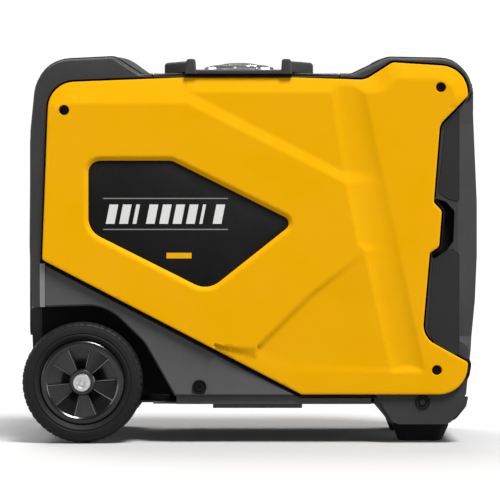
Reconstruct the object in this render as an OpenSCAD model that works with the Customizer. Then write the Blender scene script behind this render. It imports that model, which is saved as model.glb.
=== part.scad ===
// Wheeled inverter generator in a closed casing.
// Origin: centre of the footprint, on the ground. +X to the control end, -Y to the service side, +Z up.

/* [Casing] */
// Centre plane to the black flank faces
flank_y = 160; // [158:1:161]
// How far the side panels stand proud of the flanks
panel_proud = 8; // [5:1:8]
// Wall thickness of the moulded shells
wall = 3; // [2:0.5:3.5]
// Gap between neighbouring casing mouldings
seam = 1.5; // [1:0.5:2]
// Height of the crests at mid-width
crest_z = 520; // [516:1:521]

/* [Wheels] */
// Tyre outside radius, which is also the axle height
tyre_r = 80; // [78:1:80]
// Tyre width
tyre_w = 40; // [34:1:40]
// Rim radius under the tyre
rim_r = 58; // [55:1:60]
// Axle radius
axle_r = 8; // [6:0.5:8]
// Radial running clearance of the wheels and other plain bearings
running = 0.08; // [0.02:0.02:0.1]

/* [Trolley handle] */
// Outside radius of the fixed sleeves
sleeve_r = 13; // [12.5:0.5:13.5]
// Wall thickness of the three sizes of tube
tube_wall = 1.6; // [1.2:0.2:1.6]
// Gap between one tube and the next
tube_gap = 0.4; // [0.3:0.1:0.5]
// Centre plane to the tube axes
tube_y = 130; // [128:1:131]
// Height of the tube axes
tube_z = 452; // [450:1:453]

/* [Fuel] */
// Outside radius of the filler cap
cap_r = 48; // [44:1:50]
// Grip lobes round the cap
cap_lobes = 12; // [8:1:16]

/* [Engine] */
// Height of the crankshaft axis
crank_z = 215; // [212:1:216]
// Crankshaft radius at its bearings
crank_r = 12; // [10:1:12]
// Fins on the cylinder
fin_count = 8; // [5:1:9]
// Blades of the cooling fan
blade_count = 11; // [7:1:13]
// Rope groove radius of the starter pulley
pulley_r = 62; // [58:1:64]

/* [Sockets] */
// Bore radius of the mains sockets
socket_r = 19.5; // [19:0.5:20]
// Bore depth of the mains sockets
socket_depth = 17.5; // [15:0.5:18]

/* [Hidden] */
$fn = 48;

yellow = "#e9a800";
black = "#2b2c2e";
rubber = "#161718";
steel = "#a9adb2";
alloy = "#b9bbbd";

// Corner points are [x, z, corner radius], clockwise seen from the service side.
// Casing outline at the flanks; its lower left runs along the side panel's slanted edge.
FLANK = [[-277, 178.5, 1], [-291, 178.5, 1], [-291, 412, 40], [-281, 504.5, 34], [-178, 509.5, 16],
    [-143, 486.5, 8], [134, 486.5, 8], [181, 508.8, 24], [291.5, 506.5, 44], [300.3, 318, 70],
    [300.3, 246, 70], [298.5, 188, 70], [289.2, 63, 2], [64, 63, 1], [-277, 241, 1]];
// The same outline over the middle of the width, where the crests are higher and longer.
CROWN = [[-277, 178.5, 1], [-291, 178.5, 1], [-291, 412, 40], [-282, crest_z - 6, 34],
    [-168, crest_z, 40], [-122, 486.5, 6], [132, 486.5, 6], [176, crest_z - 1, 40],
    [285, crest_z - 4, 60], [300.3, 318, 70], [300.3, 246, 70], [298.5, 188, 70], [289.2, 63, 2],
    [64, 63, 1], [-277, 241, 1]];
// Yellow side panel.
PANEL = [[-265, 475, 35], [-90, 482, 30], [60, 482, 30], [152, 479, 25], [188, 502, 10], [287.5, 495.5, 36],
    [287.3, 457.5, 3], [250.2, 420, 20], [242, 317, 6], [252.7, 306, 8], [249, 258.5, 8],
    [236.8, 250.5, 6], [227, 139.6, 28], [287, 106.5, 5], [285.5, 64, 38], [67.9, 64, 2],
    [-273.6, 241.5, 5]];
BADGE = [[-213, 372.3, 16], [-103, 372.3, 18], [59, 291.5, 9.5], [-55.6, 200.5, 30], [-213, 279.5, 28]];
// Lower shroud, without and with its wheel arch.
WEDGE = [[-276.5, 239, 1], [62, 62.3, 1], [-277, 62.3, 1]];
ARCH = [[-278, 179, 1], [-200, 181, 34], [-147, 141, 40], [-93, 50, 1], [-278, 50, 1]];
// Finger notch between the side panel and the control end shell.
NOTCH = [[243, 323, 3], [258, 319, 8], [270, 306, 8], [268.5, 266, 8], [256, 248, 8], [240, 242, 3]];
LEG = [[164, 51, 1], [164, 61, 1], [288.2, 61, 1], [285.5, 48, 10], [270, 29, 14], [185, 25.5, 4],
    [174, 40, 5]];

panel_y = flank_y + panel_proud;
shell_in = flank_y - wall;
arch_y = 124;          // inner faces of the wheel arches
crown_y = 124;         // half width of the higher crests
left_split = -128;     // seam between the exhaust end shell and the top cover
right_split = 118;     // seam between the top cover and the control end shell
deck_z = 486.5;        // top cover's upper face
floor_z = 51;          // underside of the base pan
pan_t = 3;             // base pan sheet

well_x = [-109, 79];   // middles of the finger wells in the top cover

wheel_x = -221;
wheel_y = 151;         // centre plane to the middle of a tyre
cap_x = -15;
grille_x = -294;       // outer face of the exhaust grille
grille_d = 14;
outlet_y = 50;         // exhaust outlet
outlet_z = 236;
end_reach = 304;       // how far the outlet and the start dial stand out

front_x = 286;         // outer face of the control panel plate
panel_window = [[-122, 412, 12], [122, 412, 12], [122, 134, 12], [-122, 134, 12]];
lid_size = 58;         // mains socket flange and lid, square
dc_size = 44;
socket_ya = -66;
socket_yb = 8;
socket_z = 246;
dc_y = -66;
dc_z = 165;

rope_x = 170;
rope_z = crank_z + pulley_r + 2.5;
grip_y = 158;

PANEL_SCREWS = [[-244.9, 438.6], [251.6, 468.9], [246.2, 96.1]];
SHROUD_SCREW = [-66.6, 74];
LEG_SCREW = [227.7, 54];

// ---- outline functions ----

function unit(v) = v / norm(v);
function xy(p) = [p[0], p[1]];

// One rounded corner, as points on its arc.
function corner(p, c, n, r, steps) =
    let (u = unit(xy(p) - xy(c)), v = unit(xy(n) - xy(c)),
        half = acos(max(-1, min(1, u * v))) / 2,
        centre = xy(c) + unit(u + v) * r / sin(half),
        a = xy(c) + u * r / tan(half) - centre,
        b = xy(c) + v * r / tan(half) - centre,
        a0 = atan2(a[1], a[0]),
        sweep = (atan2(b[1], b[0]) - a0 + 900) % 360 - 180)
    [for (k = [0:steps]) centre + r * [cos(a0 + sweep * k / steps), sin(a0 + sweep * k / steps)]];

function rounded(pts, steps = 6) =
    let (n = len(pts))
    [for (i = [0:n - 1]) each corner(pts[(i + n - 1) % n], pts[i], pts[(i + 1) % n], max(pts[i][2], 0.2), steps)];

// The outline moved inwards by d, with its radii kept concentric; a negative d moves it outwards.
function inset(pts, d) =
    let (n = len(pts))
    [for (i = [0:n - 1])
        let (c = xy(pts[i]),
            e = unit(c - xy(pts[(i + n - 1) % n])),
            f = unit(xy(pts[(i + 1) % n]) - c),
            ne = [e[1], -e[0]], nf = [f[1], -f[0]],
            turn = e[0] * f[1] - e[1] * f[0],
            p = c + (ne + nf) * d / (1 + ne * nf))
        [p[0], p[1], max(0.3, turn < 0 ? pts[i][2] - d : pts[i][2] + d)]];

module outline(pts, d = 0) polygon(rounded(d == 0 ? pts : inset(pts, d)));

// ---- placing helpers ----

// An X-Z outline, solid from y0 to y1.
module slab(y0, y1) rotate([90, 0, 0]) translate([0, 0, -y1]) linear_extrude(y1 - y0) children();

// A Y-Z outline, solid from x0 to x1.
module plate(x0, x1) translate([x0, 0, 0]) rotate([90, 0, 90]) linear_extrude(x1 - x0) children();

module both_sides() {
    children();
    mirror([0, 1, 0]) children();
}

module box(low, high) translate(low) cube(high - low);

module rod_x(x0, x1, r, y = 0, z = 0) translate([x0, y, z]) rotate([0, 90, 0]) cylinder(h = x1 - x0, r = r);

module rod_y(y0, y1, r, x = 0, z = 0) translate([x, y0, z]) rotate([-90, 0, 0]) cylinder(h = y1 - y0, r = r);

module rod_z(z0, z1, r, x = 0, y = 0) translate([x, y, z0]) cylinder(h = z1 - z0, r = r);

module rect(low, high) translate(low) square(high - low);

// ---- casing ----

// Side panel for the service side: a tray with a sunk badge seat and three screw bosses.
module side_panel() {
    tray_d = 16;
    seat_d = 6;
    difference() {
        union() {
            difference() {
                slab(-panel_y, -panel_y + tray_d) outline(PANEL);
                slab(-panel_y + wall, -panel_y + tray_d + 1) outline(PANEL, wall);
            }
            slab(-panel_y + 1, -panel_y + seat_d + wall) outline(BADGE, -wall);
            for (p = PANEL_SCREWS) rod_y(-panel_y + 1, -panel_y + tray_d, 9.5, p[0], p[1]);
        }
        slab(-panel_y - 1, -panel_y + seat_d) outline(BADGE);
        for (p = PANEL_SCREWS) {
            rod_y(-panel_y - 1, -panel_y + 8, 6.5, p[0], p[1]);
            rod_y(-panel_y, -panel_y + tray_d + 1, 2.8, p[0], p[1]);
        }
    }
}

module front_side_panel() color(yellow) side_panel();

module cup_hole(y0, y1, d) slab(y0, y1) translate([rope_x, rope_z]) outline([[-50 + d, 23 - d, 14 - d],
    [50 - d, 23 - d, 14 - d], [50 - d, -23 + d, 14 - d], [-50 + d, -23 + d, 14 - d]]);

module rear_side_panel() color(yellow) difference() {
    mirror([0, 1, 0]) side_panel();
    cup_hole(panel_y - wall - 1, panel_y + 1, 0);
}

module badge_plates() color(black) both_sides()
    slab(-panel_y + 3.4, -panel_y + 5.9) outline(BADGE, 0.5);

// Material of the casing wall along the outline: flank rings, skin, and the cheeks beside the crests.
module casing_walls() {
    both_sides() slab(-flank_y, -shell_in) difference() {
        outline(FLANK);
        outline(PANEL, -seam);
        polygon([for (p = NOTCH) xy(p)]);
        rect([-277.5, 60], [290, 240]);
    }
    // Right trim below the panel's notch level.
    both_sides() slab(-flank_y, -shell_in) intersection() {
        difference() {
            outline(FLANK);
            outline(PANEL, -seam);
        }
        rect([226, 63], [310, 240]);
    }
    both_sides() slab(-shell_in, -crown_y) difference() {
        outline(FLANK);
        outline(FLANK, wall);
        rect([-277.5, 60], [285.8, 470]);
        rect([-287.9, 60], [285.8, 410]);
    }
    slab(-crown_y, crown_y) difference() {
        outline(CROWN);
        outline(CROWN, wall);
        rect([-277.5, 60], [285.8, 470]);
        rect([-287.9, 60], [285.8, 410]);
    }
    both_sides() slab(-crown_y, -crown_y + wall) difference() {
        outline(CROWN);
        outline(FLANK, wall);
        rect([-300, 0], [310, 470]);
    }
}

module x_range(x0, x1) intersection() {
    children();
    box([x0, -200, 0], [x1, 200, 600]);
}

module exhaust_end_shell() color(black) difference() {
    union() {
        x_range(-400, left_split - seam / 2) casing_walls();
        // The end wall goes on down between the wheels.
        box([-291, -arch_y, 120], [-288, arch_y, 178.5]);
    }
    plate(-400, -284) outline([[-118, 410, 14], [118, 410, 14], [118, 140, 14], [-118, 140, 14]]);
}

module exhaust_grille() {
    edge = 117.5;
    frame_w = 12;
    color(black) {
        plate(grille_x, grille_x + grille_d) difference() {
            outline([[-edge, 409.5, 14], [edge, 409.5, 14], [edge, 140.5, 14], [-edge, 140.5, 14]]);
            outline([[-edge + frame_w, 397.5, 6], [edge - frame_w, 397.5, 6],
                [edge - frame_w, 152.5, 6], [-edge + frame_w, 152.5, 6]]);
        }
        difference() {
            for (z = [170:22:385]) translate([grille_x + grille_d / 2, 0, z]) rotate([0, 35, 0])
                cube([15, 2 * (edge - frame_w) + 2, 2.5], center = true);
            rod_x(-310, -270, 24, outlet_y, outlet_z);
        }
        for (y = [-36, 36]) {
            box([grille_x + 4, y - 2, 150], [grille_x + 11, y + 2, 214]);
            box([grille_x + 4, y - 2, 258], [grille_x + 11, y + 2, 400]);
        }
        plate(grille_x, grille_x + grille_d) translate([outlet_y, outlet_z]) difference() {
            circle(25.5);
            circle(21.5);
        }
    }
}

module control_end_shell() color(black) difference() {
    union() {
        x_range(right_split + seam / 2, 400) casing_walls();
        // Rim round the control panel.
        plate(front_x, 296.5) difference() {
            outline([for (p = inset(panel_window, -wall)) p]);
            outline(panel_window);
        }
        // Back wall of the finger notches.
        both_sides() slab(-shell_in + 17, -shell_in + 20) outline(NOTCH, -wall);
        both_sides() slab(-shell_in, -shell_in + 20) difference() {
            outline(NOTCH, -wall);
            outline(NOTCH);
            rect([230, 230], [252, 330]);
        }
    }
    plate(280, 400) outline(panel_window);
    // Opening for the trolley grip.
    box([280, -146.5, 431], [400, 146.5, 473]);
}

module top_cover() color(black) difference() {
    well_floor = deck_z - 11;
    union() {
        x_range(left_split + seam / 2, right_split - seam / 2) casing_walls();
        for (x = well_x) box([x - 17, -53, well_floor - 2.5], [x + 17, 53, deck_z - 1]);
    }
    rod_z(deck_z - 10, deck_z + 10, 38.5, cap_x);
    // Finger wells under the carry frame's side rails.
    for (x = well_x) box([x - 14, -50, well_floor], [x + 14, 50, deck_z + 1]);
}

// Raised frame round the filler: two side rails, splayed corners, low bars across the flanks.
module carry_frame() color(black) difference() {
    half = 100;
    end_half = 69;
    thick = 14;
    union() {
        translate([cap_x, 0, deck_z]) linear_extrude(21.5) difference() {
            outline([[-half, 92, 14], [-end_half, 165, 5], [end_half, 165, 5], [half, 92, 14],
                [half, -92, 14], [end_half, -165, 5], [-end_half, -165, 5], [-half, -92, 14]]);
            outline([[-half, 92, 14], [-end_half, 165, 5], [end_half, 165, 5], [half, 92, 14],
                [half, -92, 14], [end_half, -165, 5], [-end_half, -165, 5], [-half, -92, 14]], thick);
            square([2 * end_half - 26, 400], center = true);
        }
        for (s = [-1, 1]) both_sides() box([cap_x + s * 63 - 6.5, -168, deck_z + 0.2],
            [cap_x + s * 63 + 6.5, -154, 506]);
        both_sides() box([cap_x - 57, -166, deck_z], [cap_x + 57, -158, 492]);
    }
    // Finger gaps under the side rails.
    box([cap_x - 120, -48, deck_z - 1], [cap_x + 120, 48, deck_z + 9]);
}

module base_pan() color(black) difference() {
    lip = 11.5;
    union() {
        box([-283, -118, floor_z], [-128, 118, floor_z + pan_t]);
        box([-128, -150, floor_z], [283, 150, floor_z + pan_t]);
        box([-283, -118, floor_z], [-280, 118, 119]);
        both_sides() box([-97, -158, floor_z], [160, -150, floor_z + lip - 0.7]);
        box([-49, -152, 45.5], [69, 152, floor_z]);
        both_sides() {
            box([-240, -118, floor_z], [-202, -112, 80]);
            rod_y(-118, -112, 19, wheel_x, tyre_r);
        }
    }
    rod_y(-200, 200, axle_r, wheel_x, tyre_r);
}

// Lower side shroud for the service side, with the wheel arch.
module shroud() {
    difference() {
        union() {
            slab(-flank_y, -shell_in) outline(WEDGE);
            // Arch roof and inner wall.
            slab(-shell_in, -arch_y) intersection() {
                outline(WEDGE);
                outline(ARCH, -wall);
            }
        }
        // The arch stops short of its inner wall, which the axle goes through.
        slab(-flank_y - 1, -arch_y - wall) outline(ARCH);
        rod_y(-arch_y - wall - 1, -arch_y + 1, axle_r + 1, wheel_x, tyre_r);
        rod_y(-flank_y - 1, -shell_in + 1, 2.8, SHROUD_SCREW[0], SHROUD_SCREW[1]);
    }
}

module front_shroud() color(black) shroud();

module rear_shroud() color(black) mirror([0, 1, 0]) shroud();

module leg_frame() color(black) difference() {
    side = 152;
    union() {
        both_sides() slab(-side - 6, -side) outline(LEG);
        slab(-side, side) intersection() {
            outline(LEG);
            rect([150, 0], [300, floor_z - 0.2]);
        }
    }
    box([190, -side + 6, 31], [262, side - 6, 60]);
    both_sides() rod_y(-side - 10, -side + 1, 2.8, LEG_SCREW[0], LEG_SCREW[1]);
}

module rubber_feet() color(rubber) for (s = [-1, 1]) translate([0, s * 95, 0]) {
    foot_r = 12;
    hull() {
        for (x = [198 + foot_r, 258 - foot_r], y = [-8, 8]) translate([x, y, 0]) cylinder(h = 1, r = foot_r - 1);
        for (x = [191 + foot_r, 266 - foot_r], y = [-10, 10]) translate([x, y, 20]) cylinder(h = 5.2, r = foot_r);
    }
}

module cover_screws() color(steel) both_sides() {
    for (p = PANEL_SCREWS) {
        rod_y(-panel_y + 5, -panel_y + 8, 5.4, p[0], p[1]);
        rod_y(-panel_y + 8, -panel_y + 30, 2.4, p[0], p[1]);
    }
    for (p = [[SHROUD_SCREW, flank_y], [LEG_SCREW, 158]]) {
        rod_y(-p[1] - 3, -p[1], 9, p[0][0], p[0][1]);
        rod_y(-p[1], -p[1] + 7, 2.4, p[0][0], p[0][1]);
    }
}

// ---- running gear ----

module axle() color(steel) rod_y(-172, 172, axle_r, wheel_x, tyre_r);

module axle_caps() color(steel) both_sides() difference() {
    rod_y(-175, -168.8, 11.8, wheel_x, tyre_r);
    rod_y(-172, -160, axle_r, wheel_x, tyre_r);
}

// Rim for the service side, on the Y axis: hub, dish, barrel and five wedge webs.
module wheel_rim() translate([wheel_x, 0, tyre_r]) rotate([90, 0, 0]) difference() {
    face = wheel_y + 17;
    back = wheel_y - 19;
    web_half = 18;
    union() {
        translate([0, 0, back]) cylinder(h = face - back, r = 16.7);
        translate([0, 0, back]) difference() {
            cylinder(h = 36, r = rim_r);
            translate([0, 0, -1]) cylinder(h = 40, r = rim_r - 5);
        }
        translate([0, 0, wheel_y - 5]) cylinder(h = 5, r = rim_r - 1);
        for (k = [0:4]) rotate([0, 0, 58 + 72 * k]) translate([0, 0, wheel_y - 1]) linear_extrude(9)
            polygon([[10, -6], [rim_r - 4.8, -14], [rim_r - 4.8, 14], [10, 6]]);
    }
    cylinder(h = 400, r = axle_r + running, center = true);
}

module front_wheel_rim() color(rubber) wheel_rim();

module rear_wheel_rim() color(rubber) mirror([0, 1, 0]) wheel_rim();

module tyre() translate([wheel_x, 0, tyre_r]) rotate([90, 0, 0]) translate([0, 0, wheel_y]) rotate_extrude($fn = 96)
    polygon([[rim_r, -17], [68, -tyre_w / 2], [75, -tyre_w / 2], [79, -tyre_w / 2 + 5], [tyre_r, -9],
        [tyre_r, 9], [79, tyre_w / 2 - 5], [75, tyre_w / 2], [68, tyre_w / 2], [rim_r, 17]]);

module front_tyre() color(rubber) tyre();

module rear_tyre() color(rubber) mirror([0, 1, 0]) tyre();

// ---- trolley handle ----

module tubes(x0, x1, r) both_sides() difference() {
    rod_x(x0, x1, r, -tube_y, tube_z);
    rod_x(x0 - 1, x1 + 1, r - tube_wall, -tube_y, tube_z);
}

mid_r = sleeve_r - tube_wall - tube_gap;
inner_r = mid_r - tube_wall - tube_gap;

module handle_sleeves() color(steel) tubes(-126, 268, sleeve_r);

module handle_mid_tubes() color(alloy) tubes(-123, 271, mid_r);

module handle_inner_tubes() color(alloy) tubes(-120, 277, inner_r);

module handle_grip() color(black) difference() {
    ends = 144;
    union() {
        both_sides() plate(274, 296) translate([-tube_y, tube_z])
            outline([[-14, 18, 8], [14, 18, 8], [14, -18, 8], [-14, -18, 8]]);
        plate(277, 296) outline([[-ends + 20, tube_z + 13, 3], [ends - 20, tube_z + 13, 3],
            [ends - 20, tube_z - 13, 3], [-ends + 20, tube_z - 13, 3]]);
    }
    both_sides() rod_x(270, 277, inner_r, -tube_y, tube_z);
    // Pocket for the release button.
    box([284, -25.5, tube_z - 7], [300, 25.5, tube_z + 7]);
}

module handle_button() color("#c02020") plate(289, 299)
    outline([[-25, tube_z + 6.5, 4], [25, tube_z + 6.5, 4], [25, tube_z - 6.5, 4], [-25, tube_z - 6.5, 4]]);

// ---- fuel ----

module fuel_cap_shell() color(alloy) translate([cap_x, 0, 497]) difference() {
    height = 25;
    union() {
        cylinder(h = height - 5, r = cap_r - 4);
        translate([0, 0, height - 5]) cylinder(h = 5, r1 = cap_r - 4, r2 = cap_r - 16);
        for (k = [0:cap_lobes - 1]) rotate(k * 360 / cap_lobes) translate([cap_r - 8, 0, 0])
            cylinder(h = height - 7, r = 8);
    }
    translate([0, 0, -1]) cylinder(h = height - 6, r = cap_r - 9);
}

module fuel_cap_insert() color(black) {
    rod_z(493.3, 497 + 17.5, 37, cap_x);
    rod_z(478, 493.3, 28, cap_x);
}

module tank_neck() color(steel) difference() {
    union() {
        rod_z(470, 493, 31.5, cap_x);
        rod_z(489.8, 493, 37, cap_x);
    }
    rod_z(460, 500, 28.4, cap_x);
}

module fuel_tank() color(black) difference() {
    low = 388;
    high = 470;
    translate([0, 0, low]) linear_extrude(high - low)
        outline([[-145, 116, 24], [105, 116, 24], [105, -116, 24], [-145, -116, 24]]);
    translate([0, 0, low + wall]) linear_extrude(high - low - 2 * wall)
        outline([[-145, 116, 24], [105, 116, 24], [105, -116, 24], [-145, -116, 24]], wall);
    rod_z(high - wall - 1, high + 1, 28.4, cap_x);
}

// ---- pull starter ----

module recoil_cup() color(black) difference() {
    cup_hole(panel_y - 22, panel_y + 1, 0.4);
    cup_hole(panel_y - 19, panel_y + 2, 3);
    rod_y(100, 200, 3, rope_x, rope_z);
}

module recoil_grip() color(black) {
    rod_y(150, grip_y, 5, rope_x, rope_z);
    translate([rope_x, grip_y + 5, rope_z]) rotate([0, 90, 0]) rotate_extrude()
        polygon([[0, -43], [7, -43], [9, -40], [8, -15], [10, 0], [8, 15], [9, 40], [7, 43], [0, 43]]);
}

module recoil_rope() color("#202020") rod_y(-135, 150, 2, rope_x, rope_z);

module recoil_pulley() color(alloy) translate([0, 0, crank_z]) difference() {
    union() {
        rod_x(rope_x - 2.6, rope_x + 2.6, pulley_r);
        for (s = [-1, 1]) rod_x(rope_x + s * 3.6 - 1, rope_x + s * 3.6 + 1, pulley_r + 5);
        rod_x(rope_x - 10, rope_x + 8, 14);
    }
    rod_x(rope_x - 20, rope_x + 20, 6 + running);
    for (k = [0:5]) rotate([60 * k + 30, 0, 0]) rod_x(rope_x - 20, rope_x + 20, 11, 38);
}

module recoil_housing() color(steel) translate([0, 0, crank_z]) {
    back = 180;
    rod_x(rope_x - 9, back, 6);
    difference() {
        rod_x(back, back + 3, 72);
        for (k = [0:7]) rotate([45 * k + 22, 0, 0]) rod_x(back - 1, back + 4, 12, 46);
    }
    // Legs that clear the rope, which leaves over the top.
    for (a = [-20, 90, 200]) rotate([-a, 0, 0]) box([146, 73, -8], [back + 3, 77, 8]);
    for (a = [-20, 90, 200]) rotate([-a, 0, 0]) box([back, 68, -8], [back + 3, 77, 8]);
}

// ---- engine and alternator ----

module crankcase() color(alloy) difference() {
    union() {
        plate(-70, 70) outline([[-80, 285, 20], [80, 285, 20], [80, 140, 20], [-80, 140, 20]]);
        box([-70, -60, 96], [70, 60, 145]);
        for (x = [-95, 75]) box([x - 20, -86, 76], [x + 20, 86, 96]);
        box([-95, -60, 80], [95, 60, 96]);
    }
    plate(-60, 60) outline([[-70, 275, 20], [70, 275, 20], [70, 150, 20], [-70, 150, 20]]);
    rod_x(-80, 80, crank_r + running, 0, crank_z);
    rod_z(270, 290, 33, 0);
}

module engine_mounts() color(rubber) for (x = [-95, 75], y = [-70, 70]) {
    rod_z(floor_z + pan_t, 76, 14, x, y);
}

module engine_cylinder() color(alloy) difference() {
    union() {
        box([-42, -42, 340], [42, 42, 376]);
        rod_z(285, 340, 40);
        for (k = [0:fin_count - 1]) box([-52, -52, 291 + 7.5 * k], [52, 52, 293.5 + 7.5 * k]);
    }
    rod_z(280, 350, 32);
}

module crankshaft() color(steel) translate([0, 0, crank_z]) {
    rod_x(-76, 158, crank_r);
    for (x = [-25, 13]) rod_x(x, x + 12, 38);
}

module rotor() color(steel) translate([0, 0, crank_z]) difference() {
    rod_x(80, 124, 82);
    rod_x(79, 117, 74);
    rod_x(70, 130, crank_r);
}

module stator() color("#8a5a2a") translate([0, 0, crank_z]) difference() {
    union() {
        rod_x(71, 112, 34);
        for (k = [0:11]) rotate([30 * k, 0, 0]) box([84, 0, -5], [110, 66, 5]);
        rod_x(88, 106, 55);
    }
    rod_x(60, 120, crank_r + 4);
}

module cooling_fan() color(black) translate([0, 0, crank_z]) difference() {
    union() {
        rod_x(124, 128, 80);
        rod_x(124, 144, 26);
        for (k = [0:blade_count - 1]) rotate([k * 360 / blade_count, 0, 0]) box([127, 30, -1.5], [144, 78, 1.5]);
    }
    rod_x(120, 150, crank_r);
}

module spark_plug() color("white") {
    rod_y(42, 52, 9, 0, 358);
    rod_y(52, 74, 6, 0, 358);
    rod_y(74, 96, 9, 0, 358);
}

module carburettor() color(alloy) {
    box([-20, -92, 298], [20, -56, 338]);
    rod_y(-56, -52, 16, 0, 318);
    rod_z(286, 298, 15, 0, -76);
}

module air_box() color(black) difference() {
    box([-75, -146, 262], [45, -94, 345]);
    box([-72, -143, 265], [42, -97, 342]);
    rod_y(-100, -90, 16, 0, 318);
}

module muffler() color(steel) difference() {
    can = [[-262, 330, 40], [-165, 330, 40], [-165, 176, 40], [-262, 176, 40]];
    sheet = 2;
    union() {
        slab(-60, 95) outline(can);
        rod_x(-165, -100, 14, -20, 250);
    }
    slab(-60 + sheet, 95 - sheet) outline(can, sheet);
    rod_x(-170, -99, 12, -20, 250);
    rod_x(-265, -255, 15, outlet_y, outlet_z);
}

module exhaust_tip() color(steel) difference() {
    rod_x(-end_reach, -262, 17, outlet_y, outlet_z);
    rod_x(-end_reach - 1, -261, 15, outlet_y, outlet_z);
}

// ---- electrics ----

module battery() color("#303236") {
    box([-60, 92, 56], [60, 146, 140]);
    for (x = [-45, 45]) rod_z(140, 148, 6, x, 119);
}

module inverter_module() color(alloy) {
    box([186, -110, 56], [250, 110, 84]);
    for (k = [0:14]) box([188 + 4.2 * k, -108, 84], [190 + 4.2 * k, 108, 104]);
}

module socket_holes() for (y = [socket_ya, socket_yb]) rod_x(270, 300, 23.6, y, socket_z);

module control_panel() color(black) difference() {
    plate(front_x - 3, front_x - 0.2) outline(panel_window, -2);
    socket_holes();
    rod_x(270, 300, 15.4, dc_y, dc_z);
    rod_x(270, 300, 6.3, 55, 365);
    rod_x(270, 300, 7.3, 92, 290);
    rod_x(270, 300, 11.3, 92, 236);
    rod_x(270, 300, 3.3, 70, dc_z);
    box([270, -100, 345], [300, -20, 385]);
    box([270, 84, 357], [300, 100, 383]);
}

// A flanged socket in the panel plate, facing +X, with ears and the pin of its lid's hinge.
module flanged_socket(y, z, size, body_r, bore_r, depth) {
    face = front_x + 5;
    half = size / 2;
    ear = 7;
    difference() {
        union() {
            plate(front_x, face) translate([y, z])
                outline([[-half, half, 6], [half, half, 6], [half, -half, 6], [-half, -half, 6]]);
            rod_x(face - depth - 4, front_x, body_r, y, z);
        }
        rod_x(face - depth, face + 1, bore_r, y, z);
    }
    for (s = [-1, 1]) translate([0, y + s * (half - ear / 2), 0]) {
        rod_y(-ear / 2, ear / 2, 3, hinge_x, z + half + hinge_up);
        box([front_x, -ear / 2, z + half - 4], [face, ear / 2, z + half + hinge_up + 1]);
    }
    rod_y(y - half + 1, y + half - 1, 1.3, hinge_x, z + half + hinge_up);
}

hinge_x = front_x + 7.6;
hinge_up = 2;

module ac_sockets() color("#3a3c40") for (y = [socket_ya, socket_yb]) difference() {
    flanged_socket(y, socket_z, lid_size, 23, socket_r, socket_depth);
    // Contact holes in the floor of the bore.
    for (s = [-1, 1]) rod_x(260, 280, 2.6, y + 9.5 * s, socket_z);
}

module dc_socket() color("#3a3c40") flanged_socket(dc_y, dc_z, dc_size, 15, 11, 14);

// A sprung lid on a socket's hinge pin.
module lid(y, z, size) {
    face = front_x + 5;
    half = size / 2;
    knuckle = size / 2 - 7.5;
    difference() {
        union() {
            plate(face + 0.4, face + 3.6) translate([y, z])
                outline([[-half, half - 3.6, 6], [half, half - 3.6, 6], [half, -half, 6], [-half, -half, 6]]);
            rod_y(y - knuckle, y + knuckle, 3, hinge_x, z + half + hinge_up);
            box([face + 0.4, y - knuckle, z + half - 5], [face + 3.6, y + knuckle, z + half + hinge_up]);
            plate(face + 3.6, face + 5) translate([y, z])
                outline([[-half + 6, half - 12, 8], [half - 6, half - 12, 8], [half - 6, -half + 6, 8],
                    [-half + 6, -half + 6, 8]]);
        }
        rod_y(y - half, y + half, 1.3 + running, hinge_x, z + half + hinge_up);
    }
    // Finger lip.
    box([face + 3.6, y - 8, z - half], [face + 8, y + 8, z - half + 4]);
}

module socket_lid_a() color(black) lid(socket_ya, socket_z, lid_size);

module socket_lid_b() color(black) lid(socket_yb, socket_z, lid_size);

module dc_cover() color(black) lid(dc_y, dc_z, dc_size);

module display() color("#101418") {
    box([front_x - 18, -99.5, 345.5], [front_x, -20.5, 384.5]);
    plate(front_x, front_x + 3) outline([[-104, 389, 5], [-16, 389, 5], [-16, 341, 5], [-104, 341, 5]]);
}

module start_dial() color(black) translate([0, 55, 365]) difference() {
    union() {
        rod_x(front_x + 0.4, front_x + 8, 24);
        plate(front_x + 8, end_reach) outline([[-6, 22, 4], [6, 22, 4], [6, -22, 4], [-6, -22, 4]]);
        rod_x(front_x - 14, front_x + 1, 6);
    }
    box([end_reach - 1, -1, 12], [end_reach + 1, 1, 19]);
}

module eco_rocker() color("#e0e0e0") translate([front_x - 1, 92, 370]) rotate([0, 8, 0]) intersection() {
    rod_y(-7.5, 7.5, 14);
    translate([-6, -7.5, -12]) cube([12, 15, 24]);
}

module ac_breaker() color("white") {
    rod_x(front_x - 10, front_x + 6, 7, 92, 290);
}

module start_button() color("#2f8f3a") {
    rod_x(front_x - 10, front_x + 5, 11, 92, 236);
}

module earth_terminal() color("gold") {
    rod_x(front_x - 14, front_x + 14, 3, 70, dc_z);
    translate([front_x + 0.2, 70, dc_z]) rotate([0, 90, 0]) cylinder(h = 6, r = 8, $fn = 6);
    rod_x(front_x + 7, front_x + 12, 8.5, 70, dc_z);
}

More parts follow.
